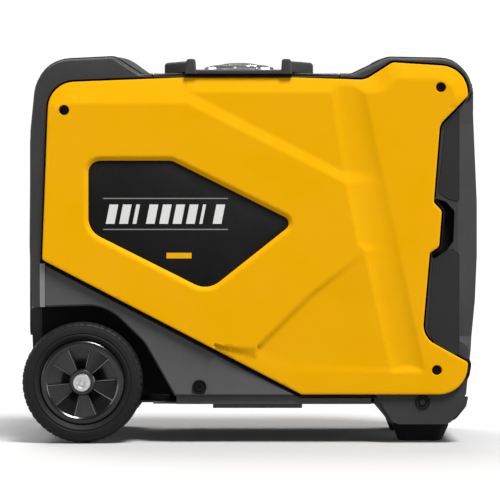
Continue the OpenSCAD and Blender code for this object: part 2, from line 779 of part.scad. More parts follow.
front_side_panel();
rear_side_panel();
badge_plates();
exhaust_end_shell();
exhaust_grille();
control_end_shell();
top_cover();
carry_frame();
base_pan();
front_shroud();
rear_shroud();
leg_frame();
rubber_feet();
cover_screws();
axle();
axle_caps();
front_wheel_rim();
rear_wheel_rim();
front_tyre();
rear_tyre();
handle_sleeves();
handle_mid_tubes();
handle_inner_tubes();
handle_grip();
handle_button();
fuel_cap_shell();
fuel_cap_insert();
tank_neck();
fuel_tank();
recoil_grip();
recoil_rope();
recoil_cup();
recoil_pulley();
recoil_housing();
crankcase();
engine_cylinder();
crankshaft();
rotor();
stator();
cooling_fan();
spark_plug();
carburettor();
air_box();
muffler();
exhaust_tip();
engine_mounts();
battery();
inverter_module();
control_panel();
ac_sockets();
socket_lid_a();
socket_lid_b();
dc_socket();
dc_cover();
display();
start_dial();
eco_rocker();
ac_breaker();
start_button();
earth_terminal();
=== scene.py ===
import math

import bmesh
import bpy
import numpy as np
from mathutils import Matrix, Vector
from mathutils.geometry import delaunay_2d_cdt


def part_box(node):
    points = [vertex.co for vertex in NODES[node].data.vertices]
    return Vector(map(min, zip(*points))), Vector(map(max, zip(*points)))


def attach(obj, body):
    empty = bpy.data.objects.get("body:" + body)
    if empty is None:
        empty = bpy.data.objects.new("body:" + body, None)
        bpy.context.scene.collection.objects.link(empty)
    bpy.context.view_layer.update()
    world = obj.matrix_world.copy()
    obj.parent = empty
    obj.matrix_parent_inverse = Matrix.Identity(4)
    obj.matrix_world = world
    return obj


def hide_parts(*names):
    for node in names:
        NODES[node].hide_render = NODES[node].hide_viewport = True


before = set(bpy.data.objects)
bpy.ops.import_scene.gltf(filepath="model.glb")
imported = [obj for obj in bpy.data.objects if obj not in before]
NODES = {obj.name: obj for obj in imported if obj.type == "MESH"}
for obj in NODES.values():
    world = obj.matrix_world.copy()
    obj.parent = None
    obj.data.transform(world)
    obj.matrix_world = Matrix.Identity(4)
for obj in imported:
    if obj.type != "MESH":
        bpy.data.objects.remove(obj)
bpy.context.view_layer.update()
MM = 0.001
SERVICE, FAR = -1, 1      # the two flanks, as signs of Y

# ---------------------------------------------------------------- outlines, [x, z, corner radius] in mm
FLANK = [[-277, 178.5, 1], [-288.2, 176.5, 1], [-291.2, 262, 300], [-290, 412, 44], [-281, 504.5, 50],
         [-178, 509.5, 16], [-143, 486.5, 8], [134, 486.5, 8], [181, 508.8, 24], [291.5, 506.5, 44],
         [296.2, 415, 1600], [300.3, 318, 70],
         [300.3, 246, 70], [297.8, 188, 70], [292.4, 132, 2000], [285.2, 63, 2], [64, 63, 1], [-277, 241, 1]]
PANEL = [[-265, 475, 35], [-90, 482, 30], [60, 482, 30], [152, 479, 25], [188, 502, 10], [287.5, 495.5, 36],
         [287.3, 457.5, 3], [250.2, 420, 20], [242, 317, 6], [252.7, 306, 8], [249, 258.5, 8],
         [236.8, 250.5, 6], [227, 139.6, 28], [287, 106.5, 5], [285.5, 64, 38], [67.9, 64, 2],
         [-273.6, 241.5, 5]]
BADGE = [[-213, 372.3, 16], [-103, 372.3, 18], [59, 291.5, 9.5], [-55.6, 200.5, 30], [-213, 279.5, 28]]
PANEL_SCREWS = [[-244.9, 438.6], [251.6, 468.9], [246.2, 96.1]]


def corner(p, c, n, r, steps):
    p, c, n = np.array(p[:2], float), np.array(c[:2], float), np.array(n[:2], float)
    u = (p - c) / np.linalg.norm(p - c)
    v = (n - c) / np.linalg.norm(n - c)
    half = math.acos(max(-1.0, min(1.0, float(u @ v)))) / 2
    m = (u + v) / np.linalg.norm(u + v)
    centre = c + m * r / math.sin(half)
    a = c + u * r / math.tan(half) - centre
    b = c + v * r / math.tan(half) - centre
    t0, t1 = math.atan2(a[1], a[0]), math.atan2(b[1], b[0])
    turn = (t1 - t0 + math.pi) % (2 * math.pi) - math.pi
    return [tuple(centre + r * np.array([math.cos(t0 + turn * i / steps), math.sin(t0 + turn * i / steps)]))
            for i in range(steps + 1)]


def rounded(pts, steps=8):
    out = []
    for i, c in enumerate(pts):
        out += corner(pts[i - 1], c, pts[(i + 1) % len(pts)], c[2], steps)
    return out


def box(u0, u1, v0, v1, r):
    return [[u0, v1, r], [u1, v1, r], [u1, v0, r], [u0, v0, r]]


def inset(pts, d):
    """The outline moved inwards by d (outwards when negative); clockwise outlines."""
    n, lines = len(pts), []
    for i in range(n):
        a, b = np.array(pts[i][:2], float), np.array(pts[(i + 1) % n][:2], float)
        e = (b - a) / np.linalg.norm(b - a)
        lines.append((a + d * np.array([e[1], -e[0]]), e))
    out = []
    for i in range(n):
        (a, u), (b, v) = lines[i - 1], lines[i]
        cross = u[0] * v[1] - u[1] * v[0]
        t = ((b - a)[0] * v[1] - (b - a)[1] * v[0]) / cross
        p = a + t * u
        out.append([p[0], p[1], max(0.3, pts[i][2] + (-d if cross < 0 else d))])
    return out


def dense(rings, step):
    """The same outline at several insets, cut into as many pieces, none longer than step on the first."""
    cuts, n = [], len(rings[0])
    for i in range(n):
        cuts.append(max(1, math.ceil(math.dist(rings[0][i], rings[0][(i + 1) % n]) / step)))
    out = []
    for ring in rings:
        pts = []
        for i in range(n):
            a, b = ring[i], ring[(i + 1) % n]
            for k in range(cuts[i]):
                t = k / cuts[i]
                pts.append((a[0] + (b[0] - a[0]) * t, a[1] + (b[1] - a[1]) * t))
        out.append(pts)
    return out


def inside(ring, X, Z):
    """Which points lie within a closed ring."""
    hit = np.zeros(X.shape, bool)
    for (x0, z0), (x1, z1) in zip(ring, [*ring[1:], ring[0]]):
        if z0 != z1:
            hit ^= ((z0 > Z) != (z1 > Z)) & (X < (x1 - x0) * (Z - z0) / (z1 - z0) + x0)
    return hit


def reach(line, X, Z, closed=False):
    """Distance to a polyline, and which side: positive on its left."""
    best = np.full(X.shape, 1e9)
    side = np.zeros(X.shape)
    n = len(line)
    for i in range(n if closed else n - 1):
        a, b = np.array(line[i], float), np.array(line[(i + 1) % n], float)
        e = b - a
        L = float(e @ e)
        if L < 1e-9:
            continue
        t = np.clip(((X - a[0]) * e[0] + (Z - a[1]) * e[1]) / L, 0, 1)
        d = np.hypot(X - a[0] - t * e[0], Z - a[1] - t * e[1])
        s = np.sign(e[0] * (Z - a[1]) - e[1] * (X - a[0]))
        near = d < best - 1e-6
        best = np.where(near, d, best)
        side = np.where(near, s, side)
    return best, side


def ease(t):
    return t * t * (3 - 2 * t)


# ---------------------------------------------------------------- mesh building
def xy(u, v, level):
    return (u, v, level)


def xz(u, v, level):
    return (u, level, v)


def yz(u, v, level):
    return (level, u, v)


def mesh_of(name, build, merge):
    """A mesh in metres: points closer than merge joined, normals outwards."""
    me = bpy.data.meshes.new(name)
    me.from_pydata([(x * MM, y * MM, z * MM) for x, y, z in build.v], [], build.f)
    bm = bmesh.new()
    bm.from_mesh(me)
    bmesh.ops.remove_doubles(bm, verts=bm.verts, dist=merge)
    bmesh.ops.recalc_face_normals(bm, faces=bm.faces)
    bm.to_mesh(me)
    bm.free()
    return me


def soften(me, degrees=None):
    """Smooth faces, with sharp edges above an angle."""
    me.polygons.foreach_set("use_smooth", [True] * len(me.polygons))
    if degrees:
        me.set_sharp_from_angle(angle=math.radians(degrees))


def put(name, data):
    """A new object in the scene."""
    ob = bpy.data.objects.new(name, data)
    bpy.context.scene.collection.objects.link(ob)
    return ob


def piece(name, build, look, body="casing", smooth=30, replaces=()):
    """An object that moves with its body."""
    me = mesh_of(name, build, 1e-5)
    soften(me, smooth)
    ob = put(name, me)
    me.materials.append(M[look])
    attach(ob, body)
    if replaces:
        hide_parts(*replaces)
    return ob


class Build:
    """Gathers vertices and faces of one piece."""

    def __init__(self):
        self.v, self.f = [], []

    def ring(self, pts):
        start = len(self.v)
        self.v += [tuple(map(float, p)) for p in pts]
        return list(range(start, start + len(pts)))

    def bridge(self, a, b, closed=True):
        n = len(a)
        for i in range(n if closed else n - 1):
            j = (i + 1) % n
            self.f.append((a[i], a[j], b[j], b[i]))

    def stack(self, rings):
        """Rings joined one to the next, closed at both ends."""
        ids = [self.ring(r) for r in rings]
        for a, b in zip(ids, ids[1:]):
            self.bridge(a, b)
        self.f += [tuple(reversed(ids[0])), tuple(ids[-1])]

    def hoop(self, rings):
        """Rings joined one to the next, and the last to the first."""
        ids = [self.ring(r) for r in rings]
        for a, b in zip(ids, ids[1:] + ids[:1]):
            self.bridge(a, b)

    def web(self, P, T, known, y):
        """A filled area at y; known says which of its points are vertices already."""
        for i, p in enumerate(P):
            if i not in known:
                known[i] = len(self.v)
                self.v.append((p[0], y, p[1]))
        self.f += [tuple(known[int(i)] for i in t) for t in T]

    def plate(self, loops, at, levels):
        """The area in the first loop and outside the others, between two levels."""
        P, T, ids = fill(loops)
        first = len(self.v)
        for level in levels:
            k = len(self.v)
            self.v += [at(u, v, level) for u, v in P]
            self.f += [tuple(int(i) + k for i in t) for t in T]
        for r in ids:
            self.bridge([first + i for i in r], [first + len(P) + i for i in r])

    def lathe(self, profile, centre, axis="y", n=64, radius=None, closed=False):
        """Turns [r, along] round Y or Z through centre; radius(r, angle) may shape it."""
        rings = []
        for r, along in profile:
            pts = []
            for i in range(n):
                a = 2 * math.pi * i / n
                q = radius(r, a) if radius else r
                c, s = q * math.cos(a), q * math.sin(a)
                if axis == "y":
                    pts.append((centre[0] + c, centre[1] + along, centre[2] + s))
                else:
                    pts.append((centre[0] + c, centre[1] + s, centre[2] + along))
            rings.append(pts)
        (self.hoop if closed else self.stack)(rings)

    def levels(self, outline, rows, arc=6):
        """One XZ outline at rows of [inset, y]."""
        self.stack([[(x, y, z) for x, z in rounded(inset(outline, d), arc)] for d, y in rows])

    def slab(self, outline, y0, y1, edge, arc):
        """A plate in XZ between y0 and y1 with rounded rims."""
        way = 1 if y1 > y0 else -1
        turns = [math.pi / 2 * k / 2 for k in range(3)]
        rows = [(edge * (1 - math.sin(t)), edge * (1 - math.cos(t))) for t in turns]
        self.levels(outline, [(d, y0 + way * e) for d, e in rows] + [(d, y1 - way * e) for d, e in rows[::-1]], arc)


def fill(loops, extra=(), near=1e-5):
    """Triangles of the area in the first loop and outside the others, as (points, triangles, loop ids)."""
    pts, edges, ids = [], [], []
    for loop in loops:
        start = len(pts)
        pts += [Vector(p) for p in loop]
        n = len(loop)
        edges += [(start + i, start + (i + 1) % n) for i in range(n)]
        ids.append(range(start, start + n))
    pts += [Vector((float(x), float(z))) for x, z in extra]
    out, _, tris, orig, _, _ = delaunay_2d_cdt(pts, edges, [], 0, near)
    where = {}
    for new, olds in enumerate(orig):
        for old in olds:
            where[old] = new
    P = np.array([tuple(p) for p in out])
    T = np.array([tuple(t) for t in tris if len(t) == 3])
    C = P[T].mean(1)
    keep = inside(loops[0], C[:, 0], C[:, 1])
    for hole in loops[1:]:
        keep &= ~inside(hole, C[:, 0], C[:, 1])
    return P, T[keep], [[where[i] for i in r] for r in ids]


def circle(x, z, r, n=28):
    return [(x + r * math.cos(-2 * math.pi * i / n), z + r * math.sin(-2 * math.pi * i / n)) for i in range(n)]


# ---------------------------------------------------------------- materials
def add(tree, kind, **values):
    """A new node, its inputs set by name."""
    n = tree.nodes.new(kind)
    for k, v in values.items():
        n.inputs[k.replace("_", " ")].default_value = v
    return n


def ramp(tree, *stops):
    """A colour ramp with [place, colour] stops."""
    n = tree.nodes.new("ShaderNodeValToRGB")
    elements = n.color_ramp.elements
    for k, (at, colour) in enumerate(stops):
        e = elements[k] if k < 2 else elements.new(at)
        e.position = at
        e.color = (*colour, 1)
    return n


def material(name, colour, rough, bump, grain=900.0, wear=0.06, metal=0.0, spec=0.5, coat=0.0, sparkle=0.0,
             streak=(1, 1, 1)):
    """A finish with fine grain and slow changes of colour and roughness."""
    m = bpy.data.materials.new(name)
    m.use_nodes = True
    t = m.node_tree
    bsdf = t.nodes["Principled BSDF"]
    L = t.links.new
    coord = add(t, "ShaderNodeTexCoord")
    place = add(t, "ShaderNodeMapping", Scale=streak)
    L(coord.outputs["Object"], place.inputs["Vector"])
    fine = add(t, "ShaderNodeTexNoise", Scale=grain, Detail=2.0, Roughness=0.6)
    slow = add(t, "ShaderNodeTexNoise", Scale=14.0, Detail=5.0, Roughness=0.62)
    L(place.outputs["Vector"], fine.inputs["Vector"])
    L(place.outputs["Vector"], slow.inputs["Vector"])
    # colour: slow cloudiness, then grain specks
    c = np.array(colour)
    cloud = ramp(t, (0.32, np.clip(c * (1 - wear), 0, 1)), (0.72, np.clip(c * (1 + wear * 0.6) + 0.002, 0, 1)))
    L(slow.outputs["Fac"], cloud.inputs["Fac"])
    last = cloud.outputs["Color"]
    if sparkle:
        dots = add(t, "ShaderNodeTexVoronoi", Scale=grain * 0.7)
        L(place.outputs["Vector"], dots.inputs["Vector"])
        pick = ramp(t, (0.0, (1, 1, 1)), (0.3, (0, 0, 0)))
        L(dots.outputs["Distance"], pick.inputs["Fac"])
        mix = add(t, "ShaderNodeMixRGB", Fac=sparkle)
        mix.blend_type = "ADD"
        L(last, mix.inputs["Color1"])
        L(pick.outputs["Color"], mix.inputs["Color2"])
        last = mix.outputs["Color"]
    L(last, bsdf.inputs["Base Color"])
    # roughness follows the slow noise
    shine = add(t, "ShaderNodeMapRange", From_Min=0.3, From_Max=0.75, To_Min=max(0.03, rough - 0.07),
                To_Max=min(1.0, rough + 0.09))
    L(slow.outputs["Fac"], shine.inputs["Value"])
    L(shine.outputs["Result"], bsdf.inputs["Roughness"])
    if bump:
        relief = add(t, "ShaderNodeBump", Strength=bump, Distance=0.0004)
        L(fine.outputs["Fac"], relief.inputs["Height"])
        L(relief.outputs["Normal"], bsdf.inputs["Normal"])
    bsdf.inputs["Metallic"].default_value = metal
    bsdf.inputs["Specular IOR Level"].default_value = spec
    if coat:
        bsdf.inputs["Coat Weight"].default_value = coat
        bsdf.inputs["Coat Roughness"].default_value = 0.12
    return m


def srgb(*c):
    return [((v / 255 + 0.055) / 1.055) ** 2.4 if v > 10 else v / 255 / 12.92 for v in c]


# each: name, colour, roughness, bump
M = {
    "yellow": material("yellow_paint", (0.41, 0.200, 0.0001), 0.55, 0.04, wear=0.015, spec=0.012),
    "shell": material("shell_plastic", srgb(37, 37, 38), 0.48, 0.35, grain=1100, wear=0.08, spec=0.14),
    "shroud": material("shroud_plastic", srgb(55, 55, 56), 0.46, 0.35, grain=1100, wear=0.08, spec=0.16),
    "badge": material("badge_plate", (0.0022, 0.0022, 0.0023), 0.5, 0.3, grain=1500, spec=0.08, sparkle=0.012),
    "rim": material("rim_plastic", (0.0025, 0.0025, 0.0026), 0.18, 0.06, wear=0.1),
    "tyre": material("tyre_rubber", (0.0038, 0.0038, 0.004), 0.6, 0.6, grain=700, wear=0.2, spec=0.13),
    "foot": material("foot_rubber", (0.004, 0.004, 0.004), 0.75, 0.5, grain=700, wear=0.2, spec=0.1),
    "zinc": material("zinc_steel", (0.55, 0.55, 0.56), 0.32, 0.1, metal=1.0, wear=0.12),
    "screw": material("black_screw", (0.003, 0.003, 0.003), 0.4, 0.1, spec=0.08),
    "tube": material("tube_alloy", (0.62, 0.63, 0.65), 0.28, 0.08, metal=1.0, streak=(0.1, 1, 1)),
    "chrome": material("cap_chrome", (0.50, 0.49, 0.48), 0.16, 0.02, metal=1.0, wear=0.05),
    "alloy": material("engine_alloy", (0.50, 0.51, 0.52), 0.5, 0.5, grain=420, metal=0.9, wear=0.14),
    "steel": material("exhaust_steel", (0.36, 0.32, 0.28), 0.42, 0.2, metal=1.0, wear=0.3),
    "tank": material("tank_plastic", (0.62, 0.60, 0.54), 0.5, 0.12, wear=0.05),
    "copper": material("copper_winding", (0.62, 0.25, 0.10), 0.35, 0.5, grain=260, metal=0.8),
    "ceramic": material("white_ceramic", (0.85, 0.84, 0.80), 0.2, 0.02, coat=0.5),
    "rope": material("rope_nylon", srgb(32, 32, 34), 0.8, 0.9, wear=0.2),
    "fan": material("fan_plastic", srgb(52, 54, 58), 0.5, 0.15),
    "socket": material("socket_plastic", srgb(26, 27, 28), 0.42, 0.15, spec=0.3),
    "lid": material("lid_plastic", srgb(42, 43, 46), 0.32, 0.1, wear=0.04, spec=0.3),
    "front": material("panel_plastic", srgb(32, 33, 34), 0.48, 0.3, grain=1100, spec=0.2),
    "window": material("display_window", srgb(12, 16, 20), 0.08, 0.0, coat=1.0),
    "red": material("button_red", srgb(176, 22, 20), 0.35, 0.05),
    "green": material("button_green", srgb(30, 130, 60), 0.35, 0.05),
    "white": material("button_white", srgb(205, 205, 200), 0.4, 0.05),
    "brass": material("terminal_brass", (0.72, 0.52, 0.22), 0.3, 0.08, metal=1.0, wear=0.1),
    # near black, darker than the shell: painted shade where it lines the seams, gaps, finger notches, arches and
    # handle bay
    "dark": material("black_moulding_and_painted_shade", (0.004, 0.004, 0.004), 0.7, 0.3, spec=0.03),
    # pale grey: a painted highlight on the shrouds' left bevel
    "corner": material("painted_highlight_corner", srgb(96, 96, 97), 0.4, 0.3, grain=1100, wear=0.1, spec=0.2),
    "pad": material("grip_pad", srgb(25, 25, 26), 0.6, 0.6, grain=1400, wear=0.04, spec=0.12),
    # paler than the rim: a painted highlight on the ribs along the webs' edges
    "rib": material("painted_highlight_rib", srgb(84, 84, 86), 0.25, 0.05, wear=0.1),
    "line": material("badge_line", srgb(92, 92, 90), 0.5, 0.05, wear=0.05, spec=0.2),
    "bars": material("badge_bars", srgb(160, 160, 158), 0.5, 0.05, wear=0.03, spec=0.2),
}

# ---------------------------------------------------------------- sculpted side panels
FACE = 170.0             # outermost level of a panel, from the centre plane
LOW = 3.5                # how far the upper and right fields lie behind the main field
LEAN = 0.28              # fall of the bevelled border, per mm
BACK = 152.0             # behind the panel's rim
BORDER = 6.5             # width of the rounded edge round the badge
MAIN_TOP = [(-276, 200), (-269, 325), (-267, 386), (-262.5, 420), (-254, 439), (-240, 447.4), (-84.2, 448.1)]
FIELD_TOP = [(-84.2, 462.6), (108, 462.4), (152.1, 460.7), (170, 461.6), (181, 467), (192, 478.5), (199, 481.4),
             (240.2, 479.7), (255.3, 477.8), (265.4, 470.5), (270.3, 456), (268, 448)]
STEP_HIGH = ((-84.2, 463.9), (129, 354.7))
STEP_LOW = ((-84.2, 448.1), (123.7, 343.2))
CREASE = [(9.2, 128.8), (78.6, 197), (150, 253.7)]
LEDGE_TOP = [(-46.1, 132.3), (-32.9, 128.3), (-13.2, 126.3), (9.2, 127), (51.3, 106.9), (184, 98.6)]
LEDGE_FOOT = [(-46.1, 128.3), (-32.9, 124.3), (0, 113.8), (47.4, 94.1), (231.6, 93.0)]
CHANNEL_LEFT = [(476, 104.8), (347.4, 124.8), (263.5, 141.6), (253.7, 150), (98.3, 184.6)]
CHANNEL_RIGHT = [(476, 148.7), (98.3, 229.8)]


def line_z(p, X):
    (x0, z0), (x1, z1) = p
    return z0 + (z1 - z0) * (X - x0) / (x1 - x0)


def fields(X, Z):
    """The flat fields of the panel and the ledges between them, before the channel is cut."""
    high, low = line_z(STEP_HIGH, X), line_z(STEP_LOW, X)
    t = np.clip((Z - low) / (high - low), 0, 1) * (X > -84.2)
    H = -LOW * t
    # the lower border, and the sunk triangle above it
    lx, lz = zip(*LEDGE_TOP)
    fx, fz = zip(*LEDGE_FOOT)
    ztop, zfoot = np.interp(X, lx, lz), np.interp(X, fx, fz)
    near = np.clip(np.hypot(X - 150, Z - 253.7) / 70, 0, 1)
    floor = -0.2 - LOW * 0.5 * near - 2.2 * np.clip((253.7 - Z) / 133.7, 0, 1)
    cx, cz = zip(*CREASE)
    zc = np.interp(X, cx, cz)
    d, _ = reach(CREASE, X, Z)
    below = (Z < zc) & (X > cx[0]) & (X < 235)
    H = np.where(below, H + (floor - H) * np.clip(d / 6.0, 0, 1), H)
    s = np.clip((ztop - Z) / np.maximum(ztop - zfoot, 0.5), 0, 1)
    start = np.where(X > 9.2, floor, 0.0)
    H = np.where((Z < ztop) & (X > -46.1), start + (-LOW - start) * s, H)
    return H


def sculpt(X, Z):
    """How far each point of a panel's outside is from the centre plane."""
    H = fields(X, Z)
    xl = np.interp(-Z, [-p[0] for p in CHANNEL_LEFT], [p[1] for p in CHANNEL_LEFT])
    xr = np.interp(-Z, [-p[0] for p in CHANNEL_RIGHT], [p[1] for p in CHANNEL_RIGHT])
    H = np.where(X > xr, -LOW, H)
    # bevelled border along the top
    d, side = reach(MAIN_TOP, X, Z)
    H = np.where((side > 0) & (X < -84.2), np.minimum(H, -LEAN * d), H)
    d, side = reach(FIELD_TOP, X, Z)
    H = np.where((side > 0) & (X >= -84.2) & (Z > 440), np.minimum(H, -LOW - LEAN * d), H)
    # the channel, running up into that border
    u = np.clip((X - xl) / (xr - xl), 0, 1)
    hl = fields(xl, np.minimum(Z, 440))
    bed = hl + (-LOW - hl) * u - 2.9 * (1 - np.abs(2 * u - 1) ** 2.4)
    foot = np.clip((Z - 93.2) / np.maximum(8.5 * (1 - (2 * u - 1) ** 2), 0.8), 0, 1)
    bed = -LOW + (bed + LOW) * foot
    bed = np.where(Z > 445, np.minimum(H, bed), bed)
    H = np.where((u > 0) & (u < 1), bed, H)
    # rounded edge down to the badge
    d, side = reach(rounded(BADGE), X, Z, closed=True)
    H = H - 4.2 * np.clip(1 - d / BORDER, 0, 1) ** 1.7
    return FACE + H


def side_panel(sign, name, node):
    outer = dense([rounded(inset(PANEL, d)) for d in (1.4, 0.75, 0.25, 0.0)], 3.2)
    badge = dense([rounded(inset(BADGE, -d)) for d in (0.0, 1.2, 2.6, 4.4, BORDER)], 3.2)
    loops = [outer[0], badge[0]] + [circle(x, z, 7.3) for x, z in PANEL_SCREWS]
    cup_ring = dense([rounded(box(120, 220, 256.5, 302.5, 14))], 3.2)[0]
    if sign == FAR:
        loops.append(cup_ring)
    g = 3.0      # spacing of the points over the fields, every other row shifted by half of it
    gx, gz = np.meshgrid(np.arange(-272, 290, g), np.arange(60, 505, g))
    gx = gx + (np.arange(gz.shape[0])[:, None] % 2) * g / 2
    X, Z = gx.ravel(), gz.ravel()
    # lines that stay crisp get their own rows of points
    lines = [MAIN_TOP, FIELD_TOP, list(STEP_HIGH), list(STEP_LOW), CREASE, LEDGE_TOP, LEDGE_FOOT,
             [(x, z) for z, x in CHANNEL_LEFT], [(x, z) for z, x in CHANNEL_RIGHT]]
    rows = []
    for line in lines:
        for a, b in zip(line, line[1:]):
            n = max(1, int(math.dist(a, b) / 2.0))
            rows += [(a[0] + (b[0] - a[0]) * k / n, a[1] + (b[1] - a[1]) * k / n) for k in range(n)]
    rows = np.array(rows)
    keep = np.ones(X.shape, bool)
    for line in lines:
        keep &= reach(line, X, Z)[0] > 1.6
    extra = [np.stack([X[keep], Z[keep]], 1), rows] + [np.array(r) for r in badge[1:]]
    extra = np.concatenate(extra)
    ok = inside(outer[0], extra[:, 0], extra[:, 1]) & (reach(outer[0], extra[:, 0], extra[:, 1], True)[0] > 1.3)
    for hole in loops[1:]:
        near = 0.6 if hole is badge[0] else 1.3
        ok &= ~inside(hole, extra[:, 0], extra[:, 1]) & (reach(hole, extra[:, 0], extra[:, 1], True)[0] > near)
    P, T, ids = fill(loops, extra[ok])
    Y = sculpt(P[:, 0], P[:, 1])
    if sign == FAR:
        d, _ = reach(cup_ring, P[:, 0], P[:, 1], True)
        Y = Y + (FACE - 0.4 - Y) * (1 - ease(np.clip(d / 14, 0, 1)))
    b = Build()
    b.ring([(x, sign * y, z) for (x, z), y in zip(P, Y)])
    b.f += [tuple(t) for t in T]
    edge = ids[0]
    for ring, drop in zip(outer[1:], (0.22, 0.75, 1.5)):
        y = Y[ids[0]] - drop
        nxt = b.ring([(x, sign * v, z) for (x, z), v in zip(ring, y)])
        b.bridge(edge, nxt)
        edge = nxt
    rim_back = b.ring([(x, sign * BACK, z) for x, z in outer[-1]])
    b.bridge(edge, rim_back)
    through = [(ids[1], badge[0])]
    if sign == FAR:
        through.append((ids[-1], cup_ring))
    backs = [rim_back]
    for top_ids, ring in through:
        low = b.ring([(x, sign * BACK, z) for x, z in ring])
        b.bridge(top_ids, low)
        backs.append(low)
    for (x, z), top_ids in zip(PANEL_SCREWS, ids[2:5]):
        lip = b.ring([(px, sign * (FACE - LOW - 1.4), pz) for px, pz in circle(x, z, 6.5)])
        foot = b.ring([(px, sign * (BACK + 3), pz) for px, pz in circle(x, z, 6.5)])
        b.bridge(top_ids, lip)
        b.bridge(lip, foot)
        b.f.append(tuple(foot))
    P, T, ids = fill([[(b.v[i][0], b.v[i][2]) for i in r] for r in backs])
    b.web(P, T, {n: old for r, new in zip(backs, ids) for old, n in zip(r, new)}, sign * BACK)
    piece(name, b, "yellow", smooth=40, replaces=[node])


side_panel(SERVICE, "service_panel", "front_side_panel")
side_panel(FAR, "far_panel", "rear_side_panel")

# ---------------------------------------------------------------- casing shells, as one skin cut at its seams
CREST = 520
CROWN = [[-277, 178.5, 1], [-288.2, 176.5, 1], [-291.2, 262, 300], [-290, 412, 44], [-281, CREST - 6, 50],
         [-168, CREST, 40], [-122, 486.5, 6], [132, 486.5, 6], [176, CREST - 1, 40], [285, CREST - 4, 60],
         [294, 415, 600], [300.3, 318, 70],
         [300.3, 246, 70], [297.8, 188, 70], [292.4, 132, 2000], [285.2, 63, 2], [64, 63, 1], [-277, 241, 1]]
NOTCH = [[243, 323, 3], [258, 319, 8], [270, 306, 8], [268.5, 266, 8], [256, 248, 8], [240, 242, 3]]
FLANK_Y, SKIN, GAP = 160.0, 3.0, 2.8
OVER = 16 * 9             # ring points from the exhaust end's foot over the top to the control end's
SEAMS = (-128, 118)
CAP_X = -15
DECK = 486.5
WELLS = (-109, 79)


def side_of(x, z):
    """Bevel width and depth along the flank's edge: broad beside the grip trim and on the crests' slopes."""
    def between(v, lo, hi, soft):
        return ease(min(max((v - lo) / soft, 0), 1) * min(max((hi - v) / soft, 0), 1))

    w, deep = 2.6, 2.6
    slope = between(x, -184, -138, 12) + between(x, 126, 190, 14)
    if z > 480 and slope:
        w, deep = w + 2.4 * slope, deep + 2.0 * slope
    if x > 240:
        broad = between(z, 122, 456, 20)
        w, deep = w + 23 * broad, deep + 9 * broad
    if x < -270 and z < 181:
        w = 1.2
    if z < 70:
        w = 0.1
    return w, deep


def rise(x, z):
    """1 where the middle of the skin stands above the flanks' seam, along the top."""
    return ease(min(max((z - 466) / 16, 0), 1) * min(max((286 - abs(x)) / 24, 0), 1))


def moved(ring, widths):
    """A ring with each point moved inwards by its own width."""
    out = []
    last = len(ring) - 1
    for i, (x, z) in enumerate(ring):
        a, b = ring[max(i - 1, 0)], ring[min(i + 1, last)]
        e = np.array([b[0] - a[0], b[1] - a[1]])
        e = e / np.linalg.norm(e)
        out.append((x + widths[i] * e[1], z - widths[i] * e[0]))
    return out


def skin_mesh():
    """The casing's outside from one flank's face over the top to the other's; the crests arch across the width."""
    F, C = rounded(FLANK)[:OVER], rounded(CROWN)[:OVER]
    n = len(F)
    sizes = [side_of(x, z) for x, z in F]
    face = moved(F, [w for w, _ in sizes])
    sunk = moved(F, [1.9] * n)
    raised = moved(F, [-1.6 * rise(x, z) for x, z in F])
    lip = [d for _, d in sizes]
    b = Build()

    def ring(pts, ys):
        return b.ring([(x, y, z) for (x, z), y in zip(pts, ys)])

    def mix(t):
        return [(f[0] + (c[0] - f[0]) * t, f[1] + (c[1] - f[1]) * t) for f, c in zip(raised, C)]

    rows = []
    for s in (-1, 1):
        half = [ring(face, [s * FLANK_Y] * n)]
        for pts, extra in ((F, 0), (F, 2.2), (sunk, 2.9), (sunk, 4.3), (raised, 5.0)):
            half.append(ring(pts, [s * (FLANK_Y - d - extra) for d in lip]))
        for y in (128, 120, 106, 86, 60, 30):
            t = 1 - (y / 128) ** 1.5
            half.append(ring(mix(t), [s * y] * n))
        for p, q in zip(half, half[1:]):
            b.bridge(p, q, closed=False)
        rows.append(half)
    middle = ring(C, [0] * n)
    for half in rows:
        b.bridge(half[-1], middle, closed=False)
    closing = [(150, 78), (60, 80), (-262, 249), (-277, 241)]
    opening = dense([rounded(inset(PANEL, -GAP))], 30)[0]
    pocket = rounded(NOTCH, 6)
    for s, half in zip((-1, 1), rows):
        P, T, ids = fill([face + closing, opening, pocket], near=1e-4)
        b.web(P, T, dict(zip(ids[0], half[0])), s * FLANK_Y)
    return b


def cutter(name, build):
    return piece(name, build, "shell", smooth=35)


def block(at, outline, low, high):
    """A rounded outline drawn out between two levels."""
    b = Build()
    b.stack([[at(u, v, level) for u, v in rounded(outline, 6)] for level in (low, high)])
    return b


def cup(b, outline, at, mouth, floor, wall):
    """An open tray: its inner outline from mouth to floor, closed below and round its outside."""
    way = 1 if floor > mouth else -1
    inner = rounded(outline, 6)
    outer = rounded(inset(outline, -wall), 6)
    b.stack([[at(u, v, level) for u, v in pts] for pts, level in
             ((inner, floor), (inner, mouth), (outer, mouth), (outer, floor + way * wall))])


def carve(ob, cutters):
    """Cuts the cutters out of a piece and removes them; FAST can cut nothing, without a message."""
    for i, c in enumerate(cutters):
        m = ob.modifiers.new("cut%d" % i, "BOOLEAN")
        m.operation = "DIFFERENCE"
        m.solver = "FAST"
        m.object = c
    dg = bpy.context.evaluated_depsgraph_get()
    me = bpy.data.meshes.new_from_object(ob.evaluated_get(dg))
    ob.modifiers.clear()
    old = ob.data
    ob.data = me
    bpy.data.meshes.remove(old)
    for c in cutters:
        cut = c.data
        bpy.data.objects.remove(c)
        bpy.data.meshes.remove(cut)
    soften(me, 17)


def join_parts(ob, build):
    """Adds more closed shapes to a piece."""
    me = mesh_of("more", build, 1e-6)
    soften(me, 32)
    bm = bmesh.new()
    bm.from_mesh(ob.data)
    bm.from_mesh(me)
    bm.to_mesh(ob.data)
    bm.free()
    bpy.data.meshes.remove(me)


